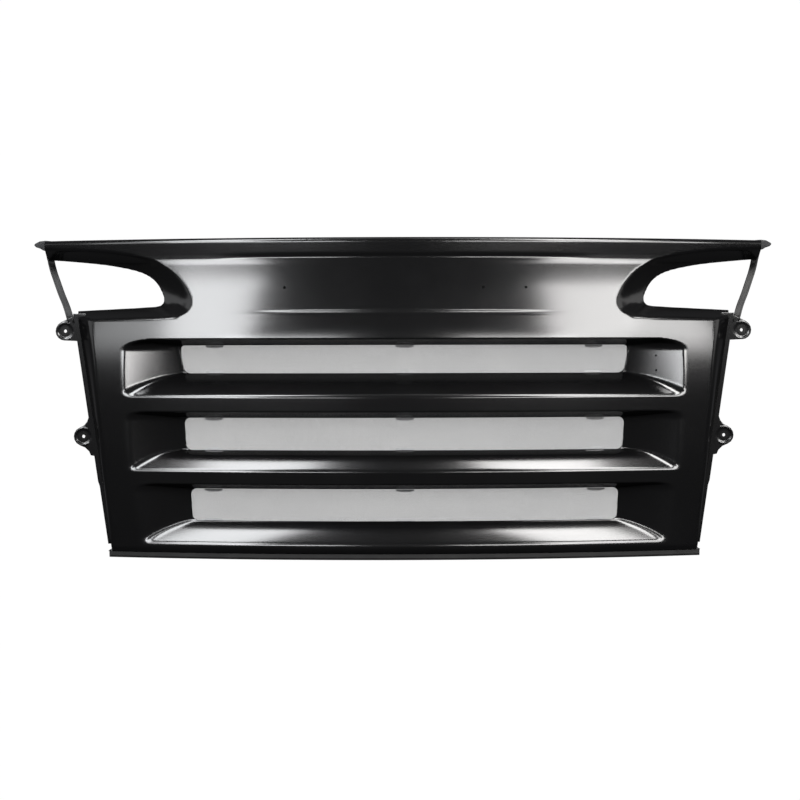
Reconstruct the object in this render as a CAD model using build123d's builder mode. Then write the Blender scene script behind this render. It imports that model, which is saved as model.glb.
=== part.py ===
from build123d import *

import os
from math import asin, cos, degrees, radians, sin, sqrt

# Front grille panel of a heavy truck cab: one bowed moulding with three louvres and a teardrop opening
# in each upper corner, wire screens clipped in behind the louvres, and a mounting rail down each side.
# Millimetres. The origin is midway between the two upper mounting holes, on their seat face.
# +Z is up, +X runs to the left-hand side of the cab, and the face looks along -Y.

# bowed face
plan_radius = 2800  # bow of the face, seen from above
front_y = -225  # foremost line of the face
axis_y = front_y + plan_radius
half_sweep = 24  # degrees, a little more than the panel needs
wall = 3.5

# heights of the face, and how far each stands behind the foremost line
bottom_z, bottom_roll = -587, 18
face_line = ((-569, 0), (-430, 1), (-300, 4.5), (-150, 14.5), (-22, 32))  # heights and insets
brow_z, brow_inset = face_line[-1]
crease_z, crease_inset = 40, 47
belly_z, belly_inset = 108, 65
groove_z, groove_inset = 177, 89
strip_z, strip_inset = 186, 91
strip_mid_z, strip_mid_inset = 236, 97
top_z, top_inset, top_roll = 246, 110, 14
top_flange_inset = 152
bottom_flange_inset = 44

# louvres: heights and half widths of each mouth and window, and the depth of the window
louvres = {
    "upper": {"lip": -173.5, "crown": -24, "low": 731, "high": 762},
    "middle": {"lip": -368, "crown": -215, "low": 720, "high": 743},
    "lower": {"lip": -560, "crown": -404, "low": 691, "high": 711},
}
louvres["upper"].update(sill=-114, head=-39.5, half=594, inset=100)
louvres["middle"].update(sill=-317, head=-231.5, half=582, inset=66)
louvres["lower"].update(sill=-502.5, head=-418, half=564, inset=48)
badge_holes = (-316, 207, 320)
badge_z, badge_radius = 112, 2.5
side_badge_x, side_badge_heights, side_badge_radius = 672, (-69, -108), 2.0

# side walls of the moulding
side_low, side_high = 748, 839  # front corner of the side wall at the foot and at the crease
side_flare = 40
strip_half = 977

# screens and their retaining frames
screen_gap, screen_thick, screen_lap = 0.1, 1.0, 10
frame_lap, frame_rail, frame_end, frame_thick = 3, 16, 22, 7
clip_places = (-505, 0, 505)
clip_wide, clip_thick, clip_leg, clip_reach = 24, 1.2, 12, 13

# side rails
rail_front, rail_thick = -10, 5
rail_inner, rail_outer = 22, 12
rail_foot, rail_step_z, rail_step = -574, -410, 2.5
upper_ear = (913, 0)
lower_ear = (865.5, -284)
ear_radius, boss_radius, neck_radius = 26, 15, 5
dish_radius, dish_deep = 19, 2.0
bush_flange, bush_flange_thick, bush_radius, bush_bore = 11, 1.2, 8, 4.5
strut_outer = ((972, 250), (970, 201), (962, 167), (950, 134), (936, 100), (921, 67), (910, 36), (906, 6))
strut_wide = 19
strut_side = ((-10, 0), (-10, 36), (87, 190), (99, 209), (99, 242.4))  # its front, seen from the side
screw_heights = (-70, -190, -350)
screw_shank, screw_head, screw_head_high = 2.4, 5.5, 3.2
screw_inboard, boss_deep = 12, 22

# corner pegs, bottom strip and top seal
peg_radius, peg_collar, peg_long = 9, 12, 32
peg_z, peg_back = 232, 30
bottom_strip_half, bottom_strip_high = 752, 15
seal_half, seal_high = 940, 9

# teardrop openings: front edge and rear edge, from the outer end of the top run to the foot
drop_front = (
    (1080, 226), (966, 222), (872, 218), (803, 212), (744, 204), (691, 193), (655, 179), (622, 158),
    (595, 132), (577, 106), (566, 78), (573, 56), (592, 42), (623, 34), (732, 31), (858, 29), (1080, 28),
)
drop_rear = (
    (1080, 202), (957, 194), (900, 189), (843, 183), (785, 175), (722, 161), (686, 146), (664, 127),
    (649, 103), (643, 83), (648, 70), (661, 65), (690, 63), (725, 61), (891, 54), (980, 50), (1080, 46),
)
drop_deep = 42


def depth(x, inset):
    """Y of the bowed surface that stands inset mm behind the foremost line, at x from the centre."""
    return axis_y - sqrt((plan_radius - inset) ** 2 - x**2)


def face_inset(z):
    """How far the flat of the louvre face stands behind the foremost line at a height."""
    for (low, near), (high, far) in zip(face_line, face_line[1:]):
        if z <= high:
            return near + (far - near) * (z - low) / (high - low)
    return brow_inset + (crease_inset - brow_inset) * (z - brow_z) / (crease_z - brow_z)


sweep_start = Vector(sin(radians(-half_sweep)), -cos(radians(-half_sweep)), 0)
section = Plane(origin=(0, axis_y, 0), x_dir=sweep_start, z_dir=sweep_start.cross(Vector(0, 0, 1)))
bow_axis = Axis((0, axis_y, 0), (0, 0, 1))


def at(inset, z):
    """Point of the upright section, by its inset and its height."""
    return (plan_radius - inset, z)


def turned(points):
    """Solid made by turning a closed outline of (inset, height) points about the axis of the bow."""
    with BuildPart() as made:
        with BuildSketch(section):
            with BuildLine():
                Polyline([at(*p) for p in points], close=True)
            make_face()
        revolve(axis=bow_axis, revolution_arc=2 * half_sweep)
    return made.part


def face_mass(inward):
    """Everything behind the face, drawn in by inward mm."""
    back = 330
    with BuildPart() as made:
        with BuildSketch(section):
            with BuildLine():
                Line(at(back, bottom_z), at(bottom_roll, bottom_z))
                RadiusArc(at(bottom_roll, bottom_z), at(0, bottom_z + bottom_roll), bottom_roll)
                Polyline([at(inset, z) for z, inset in face_line])
                Line(at(brow_inset, brow_z), at(crease_inset, crease_z))
                ThreePointArc(
                    at(crease_inset, crease_z), at(belly_inset, belly_z), at(groove_inset, groove_z)
                )
                Line(at(groove_inset, groove_z), at(strip_inset, strip_z))
                Line(at(strip_inset, strip_z), at(strip_mid_inset, strip_mid_z))
                RadiusArc(at(strip_mid_inset, strip_mid_z), at(top_inset, top_z), top_roll)
                Line(at(top_inset, top_z), at(back, top_z))
                Line(at(back, top_z), at(back, bottom_z))
            make_face()
            if inward:
                offset(amount=-inward, kind=Kind.INTERSECTION)
        revolve(axis=bow_axis, revolution_arc=2 * half_sweep)
    return made.part


def side_front(z):
    """X of the front corner of the side wall at a height."""
    return side_low + (side_high - side_low) * (z - bottom_z) / (crease_z - bottom_z)


def trim(inward):
    """Block that bounds the moulding at its sides, drawn in by inward mm."""
    low, high = -640, crease_z + 22
    with BuildPart() as made:
        for z in (low, high):
            x = side_front(z) - inward
            y = depth(x, max(face_inset(z), 0))
            with BuildSketch(Plane.XY.offset(z)):
                with BuildLine():
                    tip = x - side_flare * (y + 400) / (rail_front - y)
                    rear = x + side_flare
                    Polyline(
                        (-tip, -400), (tip, -400), (rear, rail_front), (rear, 300), (-rear, 300),
                        (-rear, rail_front), close=True,
                    )
                make_face()
        loft(ruled=True)
        half = strip_half - inward
        with Locations((0, 0, (high + 260) / 2)):
            Box(2 * half, 1000, 260 - high)
    return made.part


def funnel(louvre, grow):
    """Air space of one louvre from its mouth to its window, swollen by grow mm."""
    lip, crown = louvre["lip"] - grow, louvre["crown"] + grow
    sill, head = louvre["sill"] - grow, louvre["head"] + grow
    inset = louvre["inset"]
    rear = inset + wall if grow else inset + 50
    outline = (
        (-60, lip), (face_inset(lip), lip), (inset - 22, sill - 12), (inset, sill),
        (rear, sill), (rear, head), (inset, head), (face_inset(crown), crown), (-60, crown),
    )
    with BuildPart() as made:
        add(turned(outline))
        with BuildPart(mode=Mode.PRIVATE) as walls:
            for z, mouth in ((louvre["lip"] - 12, louvre["low"]), (louvre["crown"] + 12, louvre["high"])):
                tip = (mouth + grow, depth(mouth, face_inset(z)) - 1)
                end = (louvre["half"] + grow, depth(louvre["half"], inset))
                mid = (0.53 * tip[0] + 0.47 * end[0], 0.28 * tip[1] + 0.72 * end[1])
                with BuildSketch(Plane.XY.offset(z)):
                    with BuildLine():
                        Line((tip[0], -400), tip)
                        ThreePointArc(tip, mid, end)
                        Line(end, (end[0], 200))
                        Line((end[0], 200), (0, 200))
                        Line((0, 200), (0, -400))
                        Line((0, -400), (tip[0], -400))
                    make_face()
            loft(ruled=True)
            mirror(about=Plane.YZ)
        add(walls.part, mode=Mode.INTERSECT)
    return made.part


def swell(points, grow):
    """Outline with every point moved outward by grow mm."""
    moved = []
    for i, (x, z) in enumerate(points):
        before, after = points[max(i - 1, 0)], points[min(i + 1, len(points) - 1)]
        dx, dz = after[0] - before[0], after[1] - before[1]
        length = sqrt(dx * dx + dz * dz)
        moved.append((x + grow * dz / length, z - grow * dx / length))
    return moved


def drop(grow):
    """Air space of the right-hand teardrop opening, swollen by grow mm."""
    normal = Vector(0.28, -1, 0.3).normalized()
    mid = Vector(735, -53, 120)
    front = Plane(origin=mid - Vector(0, 45, 0), x_dir=(1, 0.28, 0), z_dir=normal)
    lip = Plane(origin=mid, x_dir=(1, 0.28, 0), z_dir=normal)
    rear = Plane(origin=mid + Vector(0, drop_deep, 0), x_dir=(1, 0.28, 0), z_dir=normal)
    back = Plane(origin=mid + Vector(0, drop_deep + 200, 0), x_dir=(1, 0.28, 0), z_dir=normal)
    runs = [(front, drop_front, lip, drop_front), (lip, drop_front, rear, drop_rear)]
    if not grow:
        runs.append((rear, drop_rear, back, drop_rear))
    with BuildPart() as made:
        for near, near_edge, far, far_edge in runs:
            with BuildPart(mode=Mode.PRIVATE) as run:
                for plane, edge in ((near, near_edge), (far, far_edge)):
                    points = []
                    for x, z in swell(edge, grow):
                        lean = normal.X * (x - mid.X) + normal.Z * (z - mid.Z)
                        local = plane.to_local_coords(Vector(x, plane.origin.Y - lean / normal.Y, z))
                        points.append((local.X, local.Y))
                    with BuildSketch(plane):
                        with BuildLine():
                            Spline(points)
                            Line(points[-1], points[0])
                        make_face()
                loft()
            add(run.part)
    return made.part


# moulded grille panel
with BuildPart() as cavity:
    add(face_mass(wall))
    add(trim(wall), mode=Mode.INTERSECT)
    for louvre in louvres.values():
        add(funnel(louvre, wall), mode=Mode.SUBTRACT)
    add(drop(wall), mode=Mode.SUBTRACT)
    add(drop(wall).mirror(Plane.YZ), mode=Mode.SUBTRACT)

with BuildPart() as panel_shell:
    add(face_mass(0))
    add(trim(0), mode=Mode.INTERSECT)
    add(cavity.part, mode=Mode.SUBTRACT)
    for louvre in louvres.values():
        add(funnel(louvre, 0), mode=Mode.SUBTRACT)
    add(drop(0), mode=Mode.SUBTRACT)
    add(drop(0).mirror(Plane.YZ), mode=Mode.SUBTRACT)
    for flange, low, high in ((top_flange_inset, -700, 400), (bottom_flange_inset, -700, -566)):
        add(turned(((flange, low), (flange, high), (600, high), (600, low))), mode=Mode.SUBTRACT)
    for side in (-1, 1):
        with Locations((side * 870, rail_front + 200, (crease_z + 22 - 700) / 2)):
            Box(300, 400, crease_z + 22 + 700, mode=Mode.SUBTRACT)
        for z in screw_heights:
            x = side * (side_front(z) + side_flare - screw_inboard)
            with Locations(Location((x, rail_front - boss_deep / 2, z), (-90, 0, 0))):
                Cylinder(6, boss_deep)
                Cylinder(screw_shank + 0.05, boss_deep, mode=Mode.SUBTRACT)
        for z in side_badge_heights:
            with Locations(Location((side_badge_x, -100, z), (0, 90, 0))):
                Cylinder(side_badge_radius, 90, mode=Mode.SUBTRACT)
    for x in badge_holes:
        with Locations(Location((x, depth(x, belly_inset), badge_z), (-90, 0, 0))):
            Cylinder(badge_radius, 60, mode=Mode.SUBTRACT)
panel_shell.part.label = "panel_shell"
made = {"panel_shell": panel_shell}


def bowed_sheet(low, high, half, near, far):
    """Bowed slab between two heights and two insets, cut square at both ends."""
    with BuildPart() as sheet:
        add(turned(((near, low), (near, high), (far, high), (far, low))))
        with Locations((0, 0, (low + high) / 2)):
            Box(2 * half, 2000, 3 * (high - low), mode=Mode.INTERSECT)
    return sheet.part


def clip(x, edge, up, near, far):
    """Spring clip over the edge of a window: a flat leaf in the opening and a leg down behind the frame."""
    turn = asin(x / (plan_radius - near))
    front = near - clip_reach
    outward = Vector(sin(turn), -cos(turn), 0)
    leaf, foot, leg = edge + up * 0.2, edge - up * clip_leg, far + 0.1
    outline = (
        (front, leaf), (front, leaf + up * clip_thick), (leg + clip_thick, leaf + up * clip_thick),
        (leg + clip_thick, foot), (leg, foot), (leg, leaf),
    )
    across = outward.cross(Vector(0, 0, 1))
    with BuildPart() as bent:
        with BuildSketch(Plane(origin=(0, axis_y, 0), x_dir=outward, z_dir=across)):
            with BuildLine():
                Polyline([at(*p) for p in outline], close=True)
            make_face()
        extrude(amount=clip_wide / 2, both=True)
    return bent.part


# wire screens, the frames that hold them, and the clips of the frames
for name, louvre in louvres.items():
    sill, head, half, inset = louvre["sill"], louvre["head"], louvre["half"], louvre["inset"]
    screen_near = inset + wall + screen_gap
    frame_near = screen_near + screen_thick + screen_gap
    far = frame_near + frame_thick
    with BuildPart() as screen:
        low, high = sill - screen_lap, head + screen_lap
        add(bowed_sheet(low, high, half + screen_lap, screen_near, screen_near + screen_thick))
        for x in clip_places:
            turn = degrees(asin(x / (plan_radius - inset)))
            for z in (sill, head):
                with Locations(Location((x, depth(x, screen_near), z), (0, 0, turn))):
                    Box(clip_wide + 3, 20, 4, mode=Mode.SUBTRACT)
    made[name + "_screen"] = screen

    with BuildPart() as retainer:
        low, high = sill - frame_rail, head + frame_rail
        add(bowed_sheet(low, high, half + frame_end, frame_near, far))
        low, high = sill - frame_lap, head + frame_lap
        add(bowed_sheet(low, high, half + frame_lap, frame_near - 5, far + 5), mode=Mode.SUBTRACT)
    made[name + "_screen_frame"] = retainer

    with BuildPart() as clips:
        for x in clip_places:
            add(clip(x, sill, 1, inset, far))
            add(clip(x, head, -1, inset, far))
    made[name + "_screen_clips"] = clips

# side rails, each with two ears and the strut that closes the teardrop opening
with BuildPart() as left_side_rail:
    with BuildSketch(Plane.XZ.offset(-rail_front)):
        rear_foot = side_front(rail_foot) + side_flare
        rear_step = side_front(rail_step_z) + side_flare + rail_outer
        rear_top = side_front(crease_z) + side_flare
        with BuildLine():
            Polyline(
                (rear_foot - rail_inner, rail_foot), (rear_top - rail_inner, crease_z),
                (rear_top + rail_outer, crease_z), (rear_step, rail_step_z),
                (rear_step - rail_step, rail_step_z), (rear_foot + rail_outer - rail_step, rail_foot),
                close=True,
            )
        make_face()
        for x, z in (upper_ear, lower_ear):
            with Locations((x, z)):
                Circle(ear_radius)
            with Locations(Location((x - 20, z), 8)):
                Rectangle(36, 2 * ear_radius - 6)
        necks = [
            v for v in vertices() for x, z in (upper_ear, lower_ear)
            if abs(v.Y - z) < 36 and abs(v.X - side_front(v.Y) - side_flare - rail_outer) < 1
        ]
        fillet(necks, radius=neck_radius)
    extrude(amount=-rail_thick)
    for x, z in (upper_ear, lower_ear):
        with Locations(Location((x, (rail_front + rail_thick) / 2, z), (-90, 0, 0))):
            Cylinder(boss_radius, -rail_front - rail_thick)
    with BuildPart(mode=Mode.PRIVATE) as strut:
        inner_edge = [(x - strut_wide, z) for x, z in strut_outer]
        with BuildSketch(Plane.XZ.offset(200)):
            with BuildLine():
                Spline(strut_outer)
                Spline(inner_edge)
                Line(strut_outer[0], inner_edge[0])
                Line(strut_outer[-1], inner_edge[-1])
            make_face()
        extrude(amount=-500)
        with BuildSketch(Plane.YZ.offset(800)):
            with BuildLine():
                Polyline(*strut_side, *((y + rail_thick, z) for y, z in reversed(strut_side)), close=True)
            make_face()
        extrude(amount=400, mode=Mode.INTERSECT)
    add(strut.part)
    for x, z in (upper_ear, lower_ear):
        with Locations(Location((x, rail_front, z), (-90, 0, 0))):
            Cylinder(dish_radius, 2 * dish_deep, mode=Mode.SUBTRACT)
            Cylinder(bush_radius, 60, mode=Mode.SUBTRACT)
    for z in screw_heights:
        with Locations(Location((side_front(z) + side_flare - screw_inboard, rail_front, z), (-90, 0, 0))):
            Cylinder(screw_shank + 0.1, 30, mode=Mode.SUBTRACT)
made["left_side_rail"] = left_side_rail

with BuildPart() as right_side_rail:
    add(left_side_rail.part.mirror(Plane.YZ))
made["right_side_rail"] = right_side_rail

# screws that hold the rails to the moulding
for side_name, side in (("left", 1), ("right", -1)):
    with BuildPart() as screws:
        for z in screw_heights:
            x = side * (side_front(z) + side_flare - screw_inboard)
            back = rail_front + rail_thick
            with Locations(Location((x, back - 10, z), (-90, 0, 0))):
                Cylinder(screw_shank, 20)
            with Locations(Location((x, back + screw_head_high / 2, z), (-90, 0, 0))):
                Cylinder(screw_head, screw_head_high)
    made[side_name + "_rail_screws"] = screws

# flanged bushes pressed into the ears
for side_name, side in (("left", 1), ("right", -1)):
    for height_name, (x, z) in (("upper", upper_ear), ("lower", lower_ear)):
        with BuildPart() as bush:
            seat = rail_front + dish_deep
            with Locations(Location((side * x, seat / 2, z), (-90, 0, 0))):
                Cylinder(bush_radius, -seat)
            with Locations(Location((side * x, seat - bush_flange_thick / 2, z), (-90, 0, 0))):
                Cylinder(bush_flange, bush_flange_thick)
            with Locations(Location((side * x, 0, z), (-90, 0, 0))):
                Cylinder(bush_bore, 60, mode=Mode.SUBTRACT)
        made[side_name + "_" + height_name + "_bush"] = bush

# corner pegs
for side_name, side in (("left", 1), ("right", -1)):
    with BuildPart() as peg:
        y = depth(strip_half, strip_mid_inset) + peg_back
        with BuildSketch(Plane(origin=(side * strip_half, y, peg_z), x_dir=(side, 0, 0), z_dir=(0, 0, 1))):
            with BuildLine():
                nose = peg_long - peg_radius
                Polyline((0, 0), (0, peg_collar), (3, peg_collar), (3, peg_radius), (nose, peg_radius))
                RadiusArc((nose, peg_radius), (peg_long, 0), peg_radius)
                Line((peg_long, 0), (0, 0))
            make_face()
        revolve(axis=Axis((side * strip_half, y, peg_z), (side, 0, 0)))
    made[side_name + "_corner_peg"] = peg

# strip under the foot, and seal along the top flange
with BuildPart() as bottom_strip:
    low, near = bottom_z - bottom_strip_high, bottom_roll + 1
    add(bowed_sheet(low, bottom_z, bottom_strip_half, near, near + 20))
made["bottom_strip"] = bottom_strip

with BuildPart() as top_seal:
    add(bowed_sheet(top_z - seal_high, top_z, seal_half, top_flange_inset, top_flange_inset + 7))
made["top_seal"] = top_seal

os.makedirs("parts", exist_ok=True)
for name, piece in made.items():
    piece.part.label = name
    export_step(piece.part, "parts/" + name + ".step")
    print(name, len(piece.part.solids()), round(piece.part.volume), piece.part.is_valid)
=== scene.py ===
import bpy
import bmesh
import numpy as np
from math import sqrt, radians, sin, cos, pi
from mathutils import Matrix, Vector


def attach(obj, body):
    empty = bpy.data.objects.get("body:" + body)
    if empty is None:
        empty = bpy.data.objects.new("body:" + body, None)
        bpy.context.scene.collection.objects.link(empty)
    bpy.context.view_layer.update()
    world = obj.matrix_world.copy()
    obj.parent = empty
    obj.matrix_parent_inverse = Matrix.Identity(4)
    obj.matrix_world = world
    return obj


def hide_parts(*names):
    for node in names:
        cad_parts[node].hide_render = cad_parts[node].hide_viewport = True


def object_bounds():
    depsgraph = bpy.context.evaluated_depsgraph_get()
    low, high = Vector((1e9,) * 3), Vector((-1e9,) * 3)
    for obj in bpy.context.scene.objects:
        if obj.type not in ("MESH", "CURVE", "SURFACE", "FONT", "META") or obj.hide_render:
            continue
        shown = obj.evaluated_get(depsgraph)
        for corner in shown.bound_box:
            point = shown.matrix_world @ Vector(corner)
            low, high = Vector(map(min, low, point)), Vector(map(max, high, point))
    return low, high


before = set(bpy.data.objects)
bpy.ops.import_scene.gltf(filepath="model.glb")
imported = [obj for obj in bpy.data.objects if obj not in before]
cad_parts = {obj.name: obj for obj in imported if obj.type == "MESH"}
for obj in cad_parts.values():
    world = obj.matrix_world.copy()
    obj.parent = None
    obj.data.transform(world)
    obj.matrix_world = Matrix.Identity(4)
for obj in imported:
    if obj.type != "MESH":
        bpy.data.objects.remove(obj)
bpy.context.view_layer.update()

bow = {"radius": 2.8, "front": -0.225}
bow["axis"] = bow["front"] + bow["radius"]


def bowY(x, inset):
    return bow["axis"] - np.sqrt((bow["radius"] - inset) ** 2 - x * x)


def softMin(a, b, k):
    h = np.maximum(k - np.abs(a - b), 0) / k
    return np.minimum(a, b) - h * h * k / 4


def softMax(a, b, k):
    return -softMin(-a, -b, k)


def ramp(t):
    t = np.clip(t, 0, 1)
    return t * t * (3 - 2 * t)


def smoothLine(points, each=12):
    # Catmull-Rom line through the points
    p = [np.array(q, float) for q in points]
    out = []
    for i in range(len(p) - 1):
        a, b, c = p[max(i - 1, 0)], p[i], p[i + 1]
        d = p[min(i + 2, len(p) - 1)]
        for k in range(each):
            t = k / each
            bend, twist = 2 * a - 5 * b + 4 * c - d, 3 * b - a - 3 * c + d
            out.append(0.5 * (2 * b + (c - a) * t + bend * t * t + twist * t ** 3))
    out.append(p[-1])
    return np.array(out)


# upright section of the face: height and how far it stands behind the foremost line
section = {
    "face": [(-0.569, 0), (-0.430, 0.001), (-0.300, 0.0045), (-0.150, 0.0145), (-0.022, 0.032), (0.040, 0.047),
             (0.108, 0.065), (0.177, 0.0885)],
    "strip": [(0.184, 0.0905), (0.190, 0.0912), (0.200, 0.0915), (0.220, 0.0916), (0.2345, 0.0917)],
    "footZ": -0.569, "footRoll": 0.018,
    "topZ": 0.2345, "topInset": 0.0917, "topUp": 0.0115, "topBack": 0.0180,
}
foot, roll = [], []
for a in map(radians, range(90, 0, -10)):
    foot.append((section["footZ"] - section["footRoll"] * sin(a), section["footRoll"] * (1 - cos(a))))
for a in map(radians, range(10, 91, 10)):
    back = section["topInset"] + section["topBack"] * (1 - cos(a))
    roll.append((section["topZ"] + section["topUp"] * sin(a), back))
profile = np.array(foot + list(map(tuple, smoothLine(section["face"]))) + section["strip"] + roll)

# two shallow grooves across the upper face, fading out towards their ends
beads = {"upper": {"z": 0.1935, "reach": 0.535, "fade": 0.24, "wide": 0.0115, "deep": 0.0020},
         "lower": {"z": 0.0445, "reach": 0.52, "fade": 0.28, "wide": 0.0095, "deep": 0.0012}}


def plainInset(z):
    return np.interp(z, profile[:, 0], profile[:, 1])


def faceInset(x, z):
    inset = plainInset(z)
    for b in beads.values():
        t = np.clip((z - b["z"]) / b["wide"], -1, 1)
        inset = inset + b["deep"] * (1 - t * t) ** 2 * ramp((b["reach"] - np.abs(x)) / b["fade"])
    return inset


# lip and crown bound the mouth, sill and head the window at the back; low and high are the half widths
# of the mouth, half that of the window, and tilt slants the window's ends
louvres = {
    "upper": {"lip": -0.1735, "crown": -0.024, "low": 0.731, "high": 0.762, "sill": -0.114, "head": -0.0395,
              "half": 0.594, "inset": 0.100, "tilt": 0.20, "soft": 0.014, "round": 0.030,
              "shy": 0.055, "bend": 0.032, "hollow": 0.2, "turn": 1},
    "middle": {"lip": -0.368, "crown": -0.215, "low": 0.720, "high": 0.743, "sill": -0.317, "head": -0.2315,
               "half": 0.582, "inset": 0.066, "tilt": 0.06, "soft": 0.004, "round": 0.014,
               "shy": 0.024, "bend": 0.026, "hollow": 0.27, "turn": 6},
    "lower": {"lip": -0.560, "crown": -0.404, "low": 0.691, "high": 0.711, "sill": -0.5025, "head": -0.418,
              "half": 0.564, "inset": 0.048, "tilt": 0.06, "soft": 0.004, "round": 0.014,
              "shy": 0.024, "bend": 0.026, "hollow": 0.2, "turn": 1},
}
for l in louvres.values():
    l["lipIn"], l["crownIn"] = float(plainInset(l["lip"])), float(plainInset(l["crown"]))

# how the walls of every funnel start, steepen and blend into each other
funnel = {"nearLip": 0.6, "nearCrown": 0.4, "steep": 1.28, "ease": 0.28, "easeTo": 1.2,
          "corner": 0.0065, "atEnds": 2.2, "shyPower": 2.5, "back": 0.004, "mouth": 0.0052}


def louvreInset(l, x, z):
    # floor, ceiling and end walls of one funnel
    ax = np.abs(x)
    t = (z - l["lip"]) / (l["sill"] - l["lip"])
    share = (1 - l["hollow"]) * t + l["hollow"] * t * np.abs(t) ** l["turn"]
    floor = l["lipIn"] + (l["inset"] - l["lipIn"]) * share
    u = (l["crown"] - z) / (l["crown"] - l["head"])
    ceil = l["crownIn"] + (l["inset"] - l["crownIn"]) * u
    mouth = l["low"] + (l["high"] - l["low"]) * (z - l["lip"]) / (l["crown"] - l["lip"])
    mouth = mouth - l["shy"] * np.clip(1 - (l["crown"] - z) / l["bend"], 0, 1) ** funnel["shyPower"]
    end = l["half"] + l["tilt"] * (z - (l["sill"] + l["head"]) / 2)
    s = (mouth - ax) / (mouth - end)
    near = l["lipIn"] * funnel["nearLip"] + l["crownIn"] * funnel["nearCrown"]
    eased = s * (funnel["steep"] - funnel["ease"] * np.clip(s, 0, funnel["easeTo"]))
    side = near + (l["inset"] - near) * np.where(s > 0, eased, s * funnel["steep"])
    k = funnel["corner"] + l["soft"] * np.clip(1 - s, 0, 1)
    d = softMin(floor, side, k)
    return softMin(d, ceil, k + l["round"] * np.clip(1 - funnel["atEnds"] * s, 0, 1))


windowCorner = 0.016


def windowGap(l, x, z):
    # signed distance from the rounded window, negative inside it
    r, middle = windowCorner, (l["sill"] + l["head"]) / 2
    qx = np.abs(x) - l["tilt"] * (z - middle) - (l["half"] - r)
    qz = np.abs(z - middle) - ((l["head"] - l["sill"]) / 2 - r)
    return np.hypot(np.maximum(qx, 0), np.maximum(qz, 0)) + np.minimum(np.maximum(qx, qz), 0) - r


# teardrop opening: its edge on the face, its edge on the rear lip, and the wall between them
drop = {
    "front": smoothLine([(1.08, 0.226), (0.966, 0.222), (0.872, 0.218), (0.803, 0.212), (0.744, 0.204),
                         (0.691, 0.193), (0.655, 0.179), (0.622, 0.158), (0.595, 0.132), (0.577, 0.106),
                         (0.566, 0.078), (0.573, 0.056), (0.592, 0.042), (0.623, 0.034), (0.732, 0.031),
                         (0.858, 0.029), (1.08, 0.028)], 6),
    "rear": smoothLine([(1.08, 0.202), (0.957, 0.194), (0.900, 0.189), (0.843, 0.183), (0.785, 0.175),
                        (0.722, 0.161), (0.686, 0.146), (0.664, 0.127), (0.649, 0.103), (0.643, 0.083),
                        (0.648, 0.070), (0.661, 0.065), (0.690, 0.063), (0.725, 0.061), (0.891, 0.054),
                        (0.980, 0.050), (1.08, 0.046)], 6),
    "deep": 0.042, "steep": 1.35, "ease": 0.35, "outside": 1.6, "round": 0.008, "beyond": 0.02,
    "fromX": 0.5, "fromZ": -0.02,
}


def sideOf(line, x, z):
    # signed distance from an open outline, positive inside it
    best = np.full(x.shape, 9.0)
    sign = np.ones(x.shape)
    for (ax, az), (bx, bz) in zip(line[:-1], line[1:]):
        ex, ez = bx - ax, bz - az
        t = np.clip(((x - ax) * ex + (z - az) * ez) / (ex * ex + ez * ez), 0, 1)
        dx, dz = x - ax - t * ex, z - az - t * ez
        d = dx * dx + dz * dz
        near = d < best
        best = np.where(near, d, best)
        sign = np.where(near, np.sign(ex * dz - ez * dx), sign)
    return np.sqrt(best) * sign


def dropShare(x, z):
    # 0 on the front edge of a teardrop opening, 1 on its rear edge, more inside it
    ax = np.abs(x)
    share = np.full(x.shape, -3.0)
    close = (ax > drop["fromX"]) & (z > drop["fromZ"])
    f = sideOf(drop["front"], ax[close], z[close])
    r = sideOf(drop["rear"], ax[close], z[close])
    s = np.where(r > 0, 1 + r / drop["beyond"], f / np.maximum(f - r, 1e-5))
    share[close] = np.where(f < 0, f / drop["beyond"], s)
    return share


# the wall that turns back to the rails: half widths at its foot and crease, on the face and at the rear
sideWall = {"foot": -0.587, "footFront": 0.777, "footRear": 0.789,
            "crease": 0.040, "creaseFront": 0.845, "creaseRear": 0.879,
            "back": -0.010, "upTo": 0.062, "round": 0.008, "stripEnd": 0.977}


def sideLine(z, end):
    share = (z - sideWall["foot"]) / (sideWall["crease"] - sideWall["foot"])
    return sideWall["foot" + end] + (sideWall["crease" + end] - sideWall["foot" + end]) * share


def shellY(x, z):
    inset = faceInset(x, z)
    for l in louvres.values():
        sunk = softMin(louvreInset(l, x, z), l["inset"] + 0 * x, funnel["back"])
        inset = softMax(inset, sunk, funnel["mouth"])
    share = dropShare(x, z)
    eased = share * (drop["steep"] - drop["ease"] * np.clip(share, 0, 1))
    wall = inset + drop["deep"] * np.where(share > 0, eased, share * drop["outside"])
    inset = softMax(inset, np.clip(wall, -0.2, 0.3), drop["round"])
    y = bowY(x, inset)
    corner, rear = sideLine(z, "Front"), sideLine(z, "Rear")
    front = bowY(corner, plainInset(z))
    side = front + (np.abs(x) - corner) * (sideWall["back"] - front) / (rear - corner)
    return np.where(z < sideWall["upTo"], softMax(y, side, sideWall["round"]), y)


# where the grid changes its spacing: rows are counted between heights, columns are set out by their step
spacing = {
    "louvre": [("lip", -0.008, 5), ("lip", 0.010, 11), ("sill", -0.004, 10), ("sill", 0.018, 8), ("head", -0.018, 5),
               ("crown", 0.008, 20)],
    "upper": [(0.036, 12), (0.0535, 11), (0.080, 9), (0.170, 16), (0.184, 4), (0.203, 11), (0.2345, 8)],
    "columns": [(0, 0.48, 0.032), (0.48, 0.548, 0.012), (0.55, 0.78, 0.0046), (0.78, 0.978, 0.007)],
    "edge": 0.982, "leanFrom": 0.5, "leanOver": 0.2, "lean": 0.14, "weld": 0.0002,
}


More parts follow.
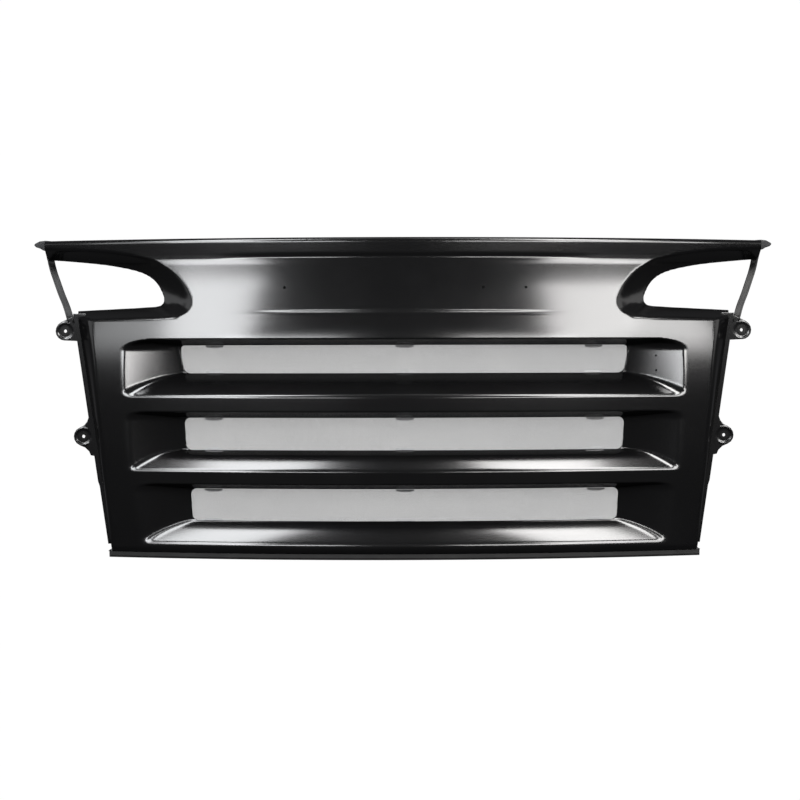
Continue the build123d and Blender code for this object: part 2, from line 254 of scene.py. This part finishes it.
def rows():
    z = list(section["footZ"] - section["footRoll"] * np.sin(np.radians(np.arange(90, 0, -9))))
    stops = []
    for name in ("lower", "middle", "upper"):
        stops += [(louvres[name][key] + off, count) for key, off, count in spacing["louvre"]]
    last = section["footZ"]
    for stop, count in stops + spacing["upper"]:
        z.extend(last + (stop - last) * i / count for i in range(count))
        last = stop
    z.extend(section["topZ"] + section["topUp"] * np.sin(np.radians(np.arange(0, 91, 10))))
    return np.array(z)


def columns():
    x = [v for run in spacing["columns"] for v in np.arange(*run)] + [spacing["edge"]]
    return np.array([-v for v in x[:0:-1]] + x)


print("laying out the shell")
gridZ, gridX = np.meshgrid(rows(), columns(), indexing="ij")
lean = np.clip((np.abs(gridX) - spacing["leanFrom"]) / spacing["leanOver"], 0, 1) * np.sign(gridX)
gridX = gridX + lean * np.minimum(gridZ - sideWall["crease"], 0) * spacing["lean"]


def flatGrid(across, up):
    # an upright sheet at y = 0 with a face between each four neighbours
    bm = bmesh.new()
    dots = [[bm.verts.new((px, 0, pz)) for px, pz in zip(*line)] for line in zip(across, up)]
    for below, above in zip(dots[:-1], dots[1:]):
        for i in range(len(below) - 1):
            bm.faces.new((below[i], below[i + 1], above[i + 1], above[i]))
    return bm


def where(bm):
    co = np.array([v.co[:] for v in bm.verts])
    return co[:, 0], co[:, 2]


def setY(bm, values):
    for v, y in zip(bm.verts, values):
        v.co.y = y


def cut(bm, values):
    # the values stand in for Y while everything above zero is cut away
    setY(bm, values)
    geom = bm.verts[:] + bm.edges[:] + bm.faces[:]
    bmesh.ops.bisect_plane(bm, geom=geom, dist=1e-7, plane_co=(0, 0, 0), plane_no=(0, 1, 0), clear_outer=True)


bm = flatGrid(gridX, gridZ)
x, z = where(bm)
cut(bm, np.where(z < sideWall["upTo"], np.abs(x) - sideLine(z, "Rear"), np.abs(x) - sideWall["stripEnd"]))
x, z = where(bm)
cut(bm, dropShare(x, z) - 1)
for l in louvres.values():
    x, z = where(bm)
    cut(bm, -windowGap(l, x, z))
x, z = where(bm)
setY(bm, shellY(x, z))
bmesh.ops.remove_doubles(bm, verts=bm.verts[:], dist=spacing["weld"])

# top flange, foot flange and window rims run back from the border of the skin
flanges = {"top": {"from": 0.2455, "way": 1, "inset": 0.150, "steps": 4},
           "foot": {"from": -0.5865, "way": -1, "inset": 0.043, "steps": 3}}
rim = {"reach": 0.66, "low": -0.55, "high": 0.19, "back": 0.0030}


def byWindow(v):
    return abs(v.co.x) < rim["reach"] and rim["low"] < v.co.z < rim["high"]


for f in flanges.values():
    border = [e for e in bm.edges if e.is_boundary]
    edges = [e for e in border if all((v.co.z - f["from"]) * f["way"] > 0 for v in e.verts)]
    for step in range(f["steps"]):
        grown = bmesh.ops.extrude_edge_only(bm, edges=edges)["geom"]
        new = [g for g in grown if isinstance(g, bmesh.types.BMVert)]
        edges = [g for g in grown if isinstance(g, bmesh.types.BMEdge) and all(v in new for v in g.verts)]
        for v in new:
            now = bow["radius"] - sqrt(v.co.x ** 2 + (bow["axis"] - v.co.y) ** 2)
            goal = now + (f["inset"] - now) / (f["steps"] - step)
            v.co.y = bow["axis"] - sqrt((bow["radius"] - goal) ** 2 - v.co.x ** 2)
rims = [e for e in bm.edges if e.is_boundary and all(byWindow(v) for v in e.verts)]
grown = bmesh.ops.extrude_edge_only(bm, edges=rims)["geom"]
for v in (g for g in grown if isinstance(g, bmesh.types.BMVert)):
    v.co.y += rim["back"]
bmesh.ops.recalc_face_normals(bm, faces=bm.faces[:])
bm.faces.ensure_lookup_table()
if max(bm.faces, key=lambda f: -f.calc_center_median().y).normal.y > 0:
    bmesh.ops.reverse_faces(bm, faces=bm.faces[:])
print("shell faces", len(bm.faces))
shellMesh = bpy.data.meshes.new("grilleShell")
bm.to_mesh(shellMesh)
bm.free()
shell = bpy.data.objects.new("grilleShell", shellMesh)
bpy.context.scene.collection.objects.link(shell)
for p in shellMesh.polygons:
    p.use_smooth = True
thick = shell.modifiers.new("wall", "SOLIDIFY")
thick.thickness = 0.0030
thick.offset = -1


def finish(piece, node, material):
    piece.data.materials.clear()
    piece.data.materials.append(material)
    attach(piece, "root")
    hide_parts(node)


def meshPiece(name, verts, faces, smooth=False):
    mesh = bpy.data.meshes.new(name)
    mesh.from_pydata(verts, [], faces)
    mesh.update()
    for p in mesh.polygons:
        p.use_smooth = smooth
    piece = bpy.data.objects.new(name, mesh)
    bpy.context.scene.collection.objects.link(piece)
    return piece


def wearGroup():
    # mottled colour and roughness, dust in soft patches, and a fine moulded grain
    group = bpy.data.node_groups.new("surfaceWear", "ShaderNodeTree")
    sockets = {"Colour": (0.012, 0.012, 0.012, 1), "Patch": (0.05, 0.05, 0.05, 1), "Patches": 0.1,
               "Roughness": 0.3, "Uneven": 0.05, "Grain": 0.05, "Grain size": 900.0, "Patch size": 6.0}
    for name, value in sockets.items():
        kind = "NodeSocketColor" if isinstance(value, tuple) else "NodeSocketFloat"
        group.interface.new_socket(name=name, in_out="INPUT", socket_type=kind).default_value = value
    outputs = {"Colour": "NodeSocketColor", "Roughness": "NodeSocketFloat", "Normal": "NodeSocketVector"}
    for name, kind in outputs.items():
        group.interface.new_socket(name=name, in_out="OUTPUT", socket_type=kind)
    nodes, links = group.nodes, group.links
    given, out = nodes.new("NodeGroupInput"), nodes.new("NodeGroupOutput")
    place = nodes.new("ShaderNodeTexCoord")

    def noise(size, detail):
        n = nodes.new("ShaderNodeTexNoise")
        n.inputs["Detail"].default_value = detail
        links.new(place.outputs["Object"], n.inputs["Vector"])
        if isinstance(size, str):
            links.new(given.outputs[size], n.inputs["Scale"])
        else:
            n.inputs["Scale"].default_value = size
        return n.outputs["Fac"]

    def maths(kind, a, b):
        m = nodes.new("ShaderNodeMath")
        m.operation = kind
        for value, socket in zip((a, b), m.inputs):
            if isinstance(value, (int, float)):
                socket.default_value = value
            else:
                links.new(value, socket)
        return m.outputs[0]

    patches = nodes.new("ShaderNodeMapRange")
    patches.interpolation_type = "SMOOTHSTEP"
    patches.inputs["From Min"].default_value = 0.42
    patches.inputs["From Max"].default_value = 0.72
    links.new(noise("Patch size", 6), patches.inputs["Value"])
    specks = nodes.new("ShaderNodeMapRange")
    specks.inputs["From Min"].default_value = 0.66
    specks.inputs["From Max"].default_value = 0.74
    links.new(noise(240, 2), specks.inputs["Value"])
    marks = maths("ADD", patches.outputs["Result"], specks.outputs["Result"])
    amount = maths("MULTIPLY", marks, given.outputs["Patches"])
    tint = nodes.new("ShaderNodeMix")
    tint.data_type = "RGBA"
    links.new(amount, tint.inputs["Factor"])
    links.new(given.outputs["Colour"], tint.inputs["A"])
    links.new(given.outputs["Patch"], tint.inputs["B"])
    links.new(tint.outputs["Result"], out.inputs["Colour"])
    broad = maths("SUBTRACT", noise(3.1, 3), 0.5)
    fine = maths("MULTIPLY", maths("SUBTRACT", noise(47, 5), 0.5), 0.6)
    uneven = maths("MULTIPLY", maths("ADD", broad, fine), given.outputs["Uneven"])
    links.new(maths("ADD", given.outputs["Roughness"], uneven), out.inputs["Roughness"])
    bump = nodes.new("ShaderNodeBump")
    bump.inputs["Distance"].default_value = 0.0001
    links.new(given.outputs["Grain"], bump.inputs["Strength"])
    links.new(noise("Grain size", 2), bump.inputs["Height"])
    links.new(bump.outputs["Normal"], out.inputs["Normal"])
    return group


wear = wearGroup()


def surface(name, colour, patch, patches, rough, uneven, grain, size=900, patchSize=6,
            metal=0.0, coat=0.0, shine=0.5):
    material = bpy.data.materials.new(name)
    material.use_nodes = True
    tree = material.node_tree
    shader = tree.nodes["Principled BSDF"]
    detail = tree.nodes.new("ShaderNodeGroup")
    detail.node_tree = wear
    given = {"Colour": (*colour, 1), "Patch": (*patch, 1), "Patches": patches, "Roughness": rough,
             "Uneven": uneven, "Grain": grain, "Grain size": size, "Patch size": patchSize}
    for socket, value in given.items():
        detail.inputs[socket].default_value = value
    tree.links.new(detail.outputs["Colour"], shader.inputs["Base Color"])
    tree.links.new(detail.outputs["Roughness"], shader.inputs["Roughness"])
    tree.links.new(detail.outputs["Normal"], shader.inputs["Normal"])
    shader.inputs["Metallic"].default_value = metal
    shader.inputs["IOR"].default_value = 1.5
    shader.inputs["Specular IOR Level"].default_value = shine
    shader.inputs["Coat Weight"].default_value = coat
    shader.inputs["Coat Roughness"].default_value = 0.12
    return material


print("mixing the materials")
satinBlack = surface("satinBlack", colour=(0.0018, 0.0018, 0.0019), patch=(0.0036, 0.0036, 0.0038),
                     patches=0.35, rough=0.16, uneven=0.035, grain=0.05)
railBlack = surface("railBlack", colour=(0.003, 0.003, 0.0032), patch=(0.007, 0.007, 0.007), patches=0.4,
                    rough=0.22, uneven=0.06, grain=0.05, size=700, patchSize=14)
strutBlack = surface("strutBlack", colour=(0.003, 0.003, 0.003), patch=(0.006, 0.006, 0.006), patches=0.4,
                     rough=0.30, uneven=0.08, grain=0.05, size=700, patchSize=14, shine=0.09)
frameBlack = surface("frameBlack", colour=(0.006, 0.006, 0.006), patch=(0.014, 0.0135, 0.013), patches=0.5,
                     rough=0.42, uneven=0.12, grain=0.22, size=620, patchSize=11)
wireGrey = surface("wireGrey", colour=(0.185, 0.185, 0.185), patch=(0.25, 0.248, 0.243), patches=0.8,
                   rough=0.52, uneven=0.15, grain=0.2, size=420, patchSize=5, metal=0.25)
clipZinc = surface("clipZinc", colour=(0.42, 0.42, 0.43), patch=(0.30, 0.30, 0.29), patches=0.6, rough=0.33,
                   uneven=0.20, grain=0.22, size=800, patchSize=90, metal=0.3)
screwZinc = surface("screwZinc", colour=(0.48, 0.47, 0.42), patch=(0.34, 0.31, 0.25), patches=0.6, rough=0.36,
                    uneven=0.24, grain=0.25, size=900, patchSize=160, metal=1.0)
bushBlack = surface("bushBlack", colour=(0.007, 0.007, 0.007), patch=(0.018, 0.018, 0.018), patches=0.4,
                    rough=0.20, uneven=0.10, grain=0.08, size=1100, patchSize=60, coat=0.5)
pegBlack = surface("pegBlack", colour=(0.010, 0.010, 0.011), patch=(0.025, 0.025, 0.025), patches=0.4,
                   rough=0.34, uneven=0.12, grain=0.2, size=900, patchSize=50, shine=0.2)
stripRubber = surface("stripRubber", colour=(0.005, 0.005, 0.005), patch=(0.012, 0.012, 0.0115), patches=0.6,
                      rough=0.50, uneven=0.14, grain=0.35, size=520, patchSize=20)
sealRubber = surface("sealRubber", colour=(0.020, 0.020, 0.020), patch=(0.045, 0.043, 0.040), patches=0.6,
                     rough=0.72, uneven=0.14, grain=0.5, size=480, patchSize=30)
holeShade = surface("holeShade", colour=(0.0008, 0.0008, 0.0008), patch=(0.0016, 0.0016, 0.0016), patches=0.5,
                    rough=0.9, uneven=0.1, grain=0.1, shine=0.05)
finish(shell, "panel_shell", satinBlack)


print("weaving the screens")
weave = {"pitch": 0.002, "radius": 0.00039, "overlap": 0.010, "behind": 0.0041, "bends": 40}


def wireScreen(name, l):
    low, high = l["sill"] - weave["overlap"], l["head"] + weave["overlap"]
    half, inset, r = l["half"] + weave["overlap"], l["inset"] + weave["behind"], weave["radius"]
    verts, faces = [], []

    def wire(line):
        first = len(verts)
        for corners in line:
            verts.extend(corners)
        for k in range(len(line) - 1):
            for c in range(4):
                a, b = first + 4 * k + c, first + 4 * k + (c + 1) % 4
                faces.append((a, b, b + 4, a + 4))

    uprights = int(2 * half / weave["pitch"])
    for i in range(uprights + 1):
        x = -half + 2 * half * i / uprights
        y = float(bowY(x, inset)) - r
        wire([[(x - r, y, z), (x, y - r, z), (x + r, y, z), (x, y + r, z)] for z in (low, high)])
    for z in np.linspace(low, high, int((high - low) / weave["pitch"]) + 1):
        line = []
        for x in np.linspace(-half, half, weave["bends"] + 1):
            y = float(bowY(x, inset)) + r
            line.append([(x, y - r, z), (x, y, z + r), (x, y + r, z), (x, y, z - r)])
        wire(line)
    return meshPiece(name, verts, faces)


for which, l in louvres.items():
    finish(wireScreen(which + "Wires", l), which + "_screen", wireGrey)


print("clips on the window edges")
clip = {"places": (-0.505, 0.0, 0.505), "wide": 0.048, "high": 0.0065, "thick": 0.0012,
        "ahead": 0.0014, "inside": 0.0008, "taper": 0.45, "steps": 8}


def clipTabs(name, l):
    verts, faces = [], []
    for middle in clip["places"]:
        for z, up in ((l["sill"] + clip["inside"], 1), (l["head"] - clip["inside"], -1)):
            first, steps = len(verts), clip["steps"]
            for k in range(steps + 1):
                t = 2 * k / steps - 1
                x = middle + t * clip["wide"] / 2
                reach = clip["high"] * (1 - clip["taper"] * t ** 4)
                for y, dz in ((0, 0), (0, reach), (clip["thick"], reach), (clip["thick"], 0)):
                    verts.append((x, float(bowY(x, l["inset"] - clip["ahead"])) + y, z + up * dz))
            for k in range(steps):
                for c in range(4):
                    a, b = first + 4 * k + c, first + 4 * k + (c + 1) % 4
                    faces.append((a, b, b + 4, a + 4) if up > 0 else (b, a, a + 4, b + 4))
            for end in (first, first + 4 * steps):
                turn = (3, 2, 1, 0) if (end == first) == (up > 0) else (0, 1, 2, 3)
                faces.append(tuple(end + c for c in turn))
    return meshPiece(name, verts, faces)


for which, l in louvres.items():
    finish(clipTabs(which + "Clips", l), which + "_screen_clips", clipZinc)


print("side rails, struts and corner pegs")
rail = {"front": -0.010, "thick": 0.0048, "inner": 0.022, "outer": 0.012,
        "step": -0.410, "stepIn": 0.0025,
        "dish": 0.019, "dishDeep": 0.002, "dishEdge": 0.004, "ring": 0.0225, "ringWide": 0.003, "ringHigh": 0.0012,
        "ringFrom": 0.012, "roll": 0.002, "rollBack": 0.0012, "bore": 0.0078, "weld": 0.00015,
        "rows": [(-0.574, -0.345, 0.012), (-0.340, -0.225, 0.0016), (-0.22, -0.032, 0.012), (-0.030, 0.0475, 0.0016)]}
ears = {"upper": {"x": 0.913, "z": 0.0,
                  "edge": [(-0.0275, -0.060), (-0.026, -0.002), (-0.024, 0.010), (-0.018, 0.019), (-0.009, 0.0245),
                           (0, 0.026), (0.009, 0.0245), (0.018, 0.019), (0.024, 0.0115), (0.033, -0.007),
                           (0.043, -0.026)]},
        "lower": {"x": 0.8655, "z": -0.284,
                  "edge": [(-0.052, -0.020), (-0.040, -0.0145), (-0.030, -0.004), (-0.024, 0.010), (-0.018, 0.019),
                           (-0.009, 0.0245), (0, 0.026), (0.009, 0.0245), (0.018, 0.019), (0.024, 0.010),
                           (0.030, -0.002), (0.040, -0.010), (0.052, -0.014)]}}
strut = {"outer": [(0.906, 0.020, -0.010), (0.910, 0.036, -0.010), (0.922, 0.067, 0.0095), (0.938, 0.100, 0.030),
                   (0.953, 0.134, 0.052), (0.967, 0.167, 0.073), (0.977, 0.201, 0.092), (0.979, 0.236, 0.098)],
         "wide": 0.019, "rib": 0.0045, "web": 0.0035, "thick": 0.006, "edge": 0.001}
peg = {"outline": [(0.958, 0.2462), (0.978, 0.2480), (0.994, 0.2462), (1.006, 0.2400), (1.009, 0.2360),
                   (1.004, 0.2300), (0.992, 0.2262), (0.985, 0.2215), (0.972, 0.2195), (0.958, 0.2210)],
       "near": 0.070, "far": 0.094, "bevel": 0.0016}


def railEdge(z):
    x = sideLine(z, "Rear") + rail["outer"] - np.where(z < rail["step"], rail["stepIn"], 0)
    for ear in ears.values():
        dz, dx = np.array(ear["edge"]).T
        near = (z - ear["z"] > dz[0]) & (z - ear["z"] < dz[-1])
        x = np.where(near, np.maximum(x, ear["x"] + np.interp(z - ear["z"], dz, dx)), x)
    return x


def railY(x, z):
    y = rail["front"] + 0 * x
    for ear in ears.values():
        away = np.hypot(x - ear["x"], z - ear["z"])
        y = y + rail["dishDeep"] * ramp((rail["dish"] - away) / rail["dishEdge"] + 0.5)
        ring = ramp(1 - np.abs(away - rail["ring"]) / rail["ringWide"])
        y = y - rail["ringHigh"] * ring * (x > ear["x"] - rail["ringFrom"])
    edge = np.clip(1 - (railEdge(z) - x) / rail["roll"], 0, 1)
    return y + rail["rollBack"] * edge * edge


def sideRail(name, side):
    # coarse rows between the ears, close ones across them
    z = np.concatenate([np.arange(*run) for run in rail["rows"]])
    share = np.concatenate([np.linspace(0, 0.96, 30), [0.985, 1]])
    rowsZ, shares = np.meshgrid(z, share, indexing="ij")
    left, right = sideLine(rowsZ, "Rear") - rail["inner"], railEdge(rowsZ)
    bm = flatGrid(left + (right - left) * shares, rowsZ)
    for ear in ears.values():
        x, z = where(bm)
        cut(bm, rail["bore"] - np.hypot(x - ear["x"], z - ear["z"]))
    x, z = where(bm)
    setY(bm, railY(x, z))
    bmesh.ops.remove_doubles(bm, verts=bm.verts[:], dist=rail["weld"])
    bmesh.ops.solidify(bm, geom=bm.faces[:], thickness=rail["thick"])
    bmesh.ops.recalc_face_normals(bm, faces=bm.faces[:])
    low = min(v.co.y for v in bm.verts)
    for v in bm.verts:
        v.co.y += rail["front"] - rail["ringHigh"] - low
    if side < 0:
        bmesh.ops.scale(bm, vec=(-1, 1, 1), verts=bm.verts[:])
        bmesh.ops.reverse_faces(bm, faces=bm.faces[:])
    mesh = bpy.data.meshes.new(name)
    bm.to_mesh(mesh)
    bm.free()
    for p in mesh.polygons:
        p.use_smooth = abs(p.normal.y) > 0.5
    piece = bpy.data.objects.new(name, mesh)
    bpy.context.scene.collection.objects.link(piece)
    return piece


def sideStrut(name, side):
    # two ribs with a sunk web between them
    w, r, web, t, e = (strut[key] for key in ("wide", "rib", "web", "thick", "edge"))
    ring = [(0, t), (0, e), (-e, 0), (-r, 0), (-r, web), (r - w, web), (r - w, 0), (e - w, 0), (-w, e), (-w, t)]
    line = smoothLine(strut["outer"], 5)
    verts = [(side * (px + dx), py + dy, pz) for px, pz, py in line for dx, dy in ring]
    n, faces = len(ring), []
    for k in range(len(line) - 1):
        faces += [(n * k + c, n * k + (c + 1) % n, n * k + n + (c + 1) % n, n * k + n + c) for c in range(n)]
    faces += [tuple(range(n - 1, -1, -1)), tuple(range(n * (len(line) - 1), n * len(line)))]
    if side < 0:
        faces = [tuple(reversed(f)) for f in faces]
    return meshPiece(name, verts, faces)


def cornerPeg(name, side):
    verts = [(side * x, y, z) for y in (peg["near"], peg["far"]) for x, z in peg["outline"]]
    n = len(peg["outline"])
    faces = [tuple(range(n)), tuple(range(2 * n - 1, n - 1, -1))]
    faces += [(k, k + n, (k + 1) % n + n, (k + 1) % n) for k in range(n)]
    piece = meshPiece(name, verts, faces)
    tool = bmesh.new()
    tool.from_mesh(piece.data)
    bmesh.ops.recalc_face_normals(tool, faces=tool.faces[:])
    bmesh.ops.bevel(tool, geom=tool.edges[:], offset=peg["bevel"], segments=2, profile=0.6, affect="EDGES")
    tool.to_mesh(piece.data)
    tool.free()
    return piece


for sideName, side in (("left", 1), ("right", -1)):
    finish(sideRail(sideName + "Rail", side), sideName + "_side_rail", railBlack)
    finish(sideStrut(sideName + "Strut", side), sideName + "_side_rail", strutBlack)
    finish(cornerPeg(sideName + "Peg", side), sideName + "_corner_peg", pegBlack)


print("foot strip and badge holes")
strip = {"half": 0.785, "top": -0.5855, "low": -0.6012, "front": 0.010, "rear": 0.040,
         "round": 0.006, "steps": 80}


def footStrip():
    # rounded bar that carries the foot of the panel on downward
    f, r, c = strip["front"], strip["rear"], strip["round"]
    ring = [(r, strip["top"]), (f, strip["top"]), (f, strip["low"] + c)]
    ring += [(f + c - c * cos(radians(a)), strip["low"] + c - c * sin(radians(a))) for a in (22, 45, 68, 90)]
    ring.append((r, strip["low"]))
    count, verts, faces = len(ring), [], []
    places = np.linspace(-strip["half"], strip["half"], strip["steps"] + 1)
    for x in places:
        verts.extend((x, float(bowY(x, inset)), z) for inset, z in ring)
    for k in range(len(places) - 1):
        for c in range(count):
            a, b = count * k + c, count * k + (c + 1) % count
            faces.append((b, a, a + count, b + count))
    faces.append(tuple(range(count)))
    faces.append(tuple(reversed(range(count * (len(places) - 1), count * len(places)))))
    return meshPiece("footStrip", verts, faces)


finish(footStrip(), "bottom_strip", stripRubber)

# badge pin holes are not cut: near-black rough discs a hair proud of the skin are painted shade standing in for the
# dark inside each hole
badges = {"face": [(-0.316, 0.112, 0.0036), (0.207, 0.112, 0.0036), (0.320, 0.112, 0.0036)],
          "wall": [(0.672, -0.069, 0.0028), (0.672, -0.108, 0.0028)], "proud": 0.00025, "sides": 16}
verts, faces = [], []
for x, z, r in badges["face"] + badges["wall"]:
    around = [(x + r * cos(a), z + r * sin(a)) for a in np.linspace(0, 2 * pi, badges["sides"], endpoint=False)]
    depths = shellY(*np.array(around).T) - badges["proud"]
    faces.append(tuple(range(len(verts), len(verts) + badges["sides"])))
    verts.extend((px, float(py), pz) for (px, pz), py in zip(around, depths))
finish(meshPiece("badgeHoles", verts, faces), "panel_shell", holeShade)

# the CAD nodes keep their shape and take a finish by the end of their name
finishes = {"screen_frame": frameBlack, "rail_screws": screwZinc, "side_rail": railBlack, "bush": bushBlack,
            "corner_peg": pegBlack, "bottom_strip": stripRubber, "top_seal": sealRubber, "screen": wireGrey,
            "clips": clipZinc, "panel_shell": satinBlack}
for name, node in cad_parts.items():
    node.data.materials.clear()
    node.data.materials.append(next(m for end, m in finishes.items() if name.endswith(end)))


print("lights, backdrop and camera")
# low and high are the ends of each box: azimuth, elevation and distance; left and right are radiances
softboxes = {
    "front": {"low": (28, 15.5, 4.2), "high": (30.5, 39.6, 4.2),
              "rise": 2.2, "wide": 1.06, "shift": 0.44, "left": 19.5, "right": 19.0},
    "edge": {"low": (42, 15.5, 4.3), "high": (44.5, 38, 4.3),
             "wide": 1.0, "shift": 0.55, "left": 5.5, "right": 15.0},
    "over": {"low": (40, 50, 4.5), "high": (70, 82, 4.8),
             "wide": 1.2, "shift": 0.55, "left": 20.0, "right": 23.0},
    "fill": {"low": (12, 14.0, 4.0), "high": (12, 20.5, 4.0),
             "wide": 1.4, "shift": 0.57, "left": 20.0, "right": 22.0},
    "top": {"low": (100, 84, 4.6), "high": (155, 68, 4.8),
            "wide": 1.2, "shift": 0.10, "left": 1.0, "right": 1.8},
    "side": {"low": (78, 8, 4.0), "high": (78, 38, 4.0),
             "wide": 2.0, "shift": 0.30, "left": 1.1, "right": 1.3},
}
aim = Vector((0, -0.1, -0.05))


def towards(azimuth, elevation, distance):
    # a place seen from the middle of the panel, straight ahead of it being azimuth 0
    a, e = radians(azimuth), radians(elevation)
    return Vector((sin(a) * cos(e), -cos(a) * cos(e), sin(e))) * distance + aim


for name, box in softboxes.items():
    for sideName, side in (("Left", -1), ("Right", 1)):
        shift = Vector((side * box["shift"], 0, 0))
        low = towards(side * box["low"][0], *box["low"][1:]) + shift
        # the left front box reaches a little higher
        rise = box.get("rise", 0) if side < 0 else 0
        high = towards(side * box["high"][0], box["high"][1] + rise, box["high"][2]) + shift
        middle, along = (low + high) / 2, (high - low).normalized()
        away = middle - aim
        away = (away - along * away.dot(along)).normalized()
        across = along.cross(away)
        light = bpy.data.lights.new(name + sideName, "AREA")
        light.shape = "RECTANGLE"
        light.size, light.size_y = box["wide"], (high - low).length
        light.energy = box[sideName.lower()] * pi * light.size * light.size_y
        light.color = (0.97, 0.985, 1.0) if side < 0 else (1.0, 0.99, 0.98)
        lamp = bpy.data.objects.new(name + sideName, light)
        bpy.context.scene.collection.objects.link(lamp)
        lamp.matrix_world = Matrix((across, along, away)).transposed().to_4x4()
        lamp.location = middle

paper = bpy.data.materials.new("whitePaper")
paper.use_nodes = True
paperShader = paper.node_tree.nodes["Principled BSDF"]
fibre = paper.node_tree.nodes.new("ShaderNodeTexNoise")
fibre.inputs["Scale"].default_value = 40
spread = paper.node_tree.nodes.new("ShaderNodeTexCoord")
paper.node_tree.links.new(spread.outputs["Object"], fibre.inputs["Vector"])
tone = paper.node_tree.nodes.new("ShaderNodeMapRange")
tone.inputs["To Min"].default_value = 0.012
tone.inputs["To Max"].default_value = 0.02
paper.node_tree.links.new(fibre.outputs["Fac"], tone.inputs["Value"])
paper.node_tree.links.new(tone.outputs["Result"], paperShader.inputs["Base Color"])
paperShader.inputs["Roughness"].default_value = 1.0
paperShader.inputs["Specular IOR Level"].default_value = 0.0
paperShader.inputs["Emission Color"].default_value = (1, 1, 1, 1)
paperShader.inputs["Emission Strength"].default_value = 1.0
bpy.ops.mesh.primitive_plane_add(size=30, location=(0, 8, 0), rotation=(radians(90), 0, 0))
backdrop = bpy.context.object
backdrop.name = "backdrop"
bpy.ops.mesh.primitive_plane_add(size=30, location=(0, 0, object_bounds()[0].z - 0.001))
floor = bpy.context.object
floor.name = "floor"
for sheet in (backdrop, floor):
    sheet.data.materials.append(paper)
    sheet.visible_glossy = False
    sheet.visible_diffuse = False

world = bpy.data.worlds.new("studio")
bpy.context.scene.world = world
world.use_nodes = True
world.node_tree.nodes["Background"].inputs["Color"].default_value = (0.062, 0.062, 0.065, 1)
bpy.context.scene.view_settings.view_transform = "Standard"

view = {"place": (-0.0685, -5.5366, -0.0683), "turn": (radians(90) - 0.0216, 0.0021, -0.0104), "lens": 92.1}
lens = bpy.data.cameras.new("camera")
lens.lens = view["lens"]
lens.sensor_width = 36
camera = bpy.data.objects.new("camera", lens)
bpy.context.scene.collection.objects.link(camera)
camera.location = view["place"]
camera.rotation_euler = view["turn"]
bpy.context.scene.camera = camera
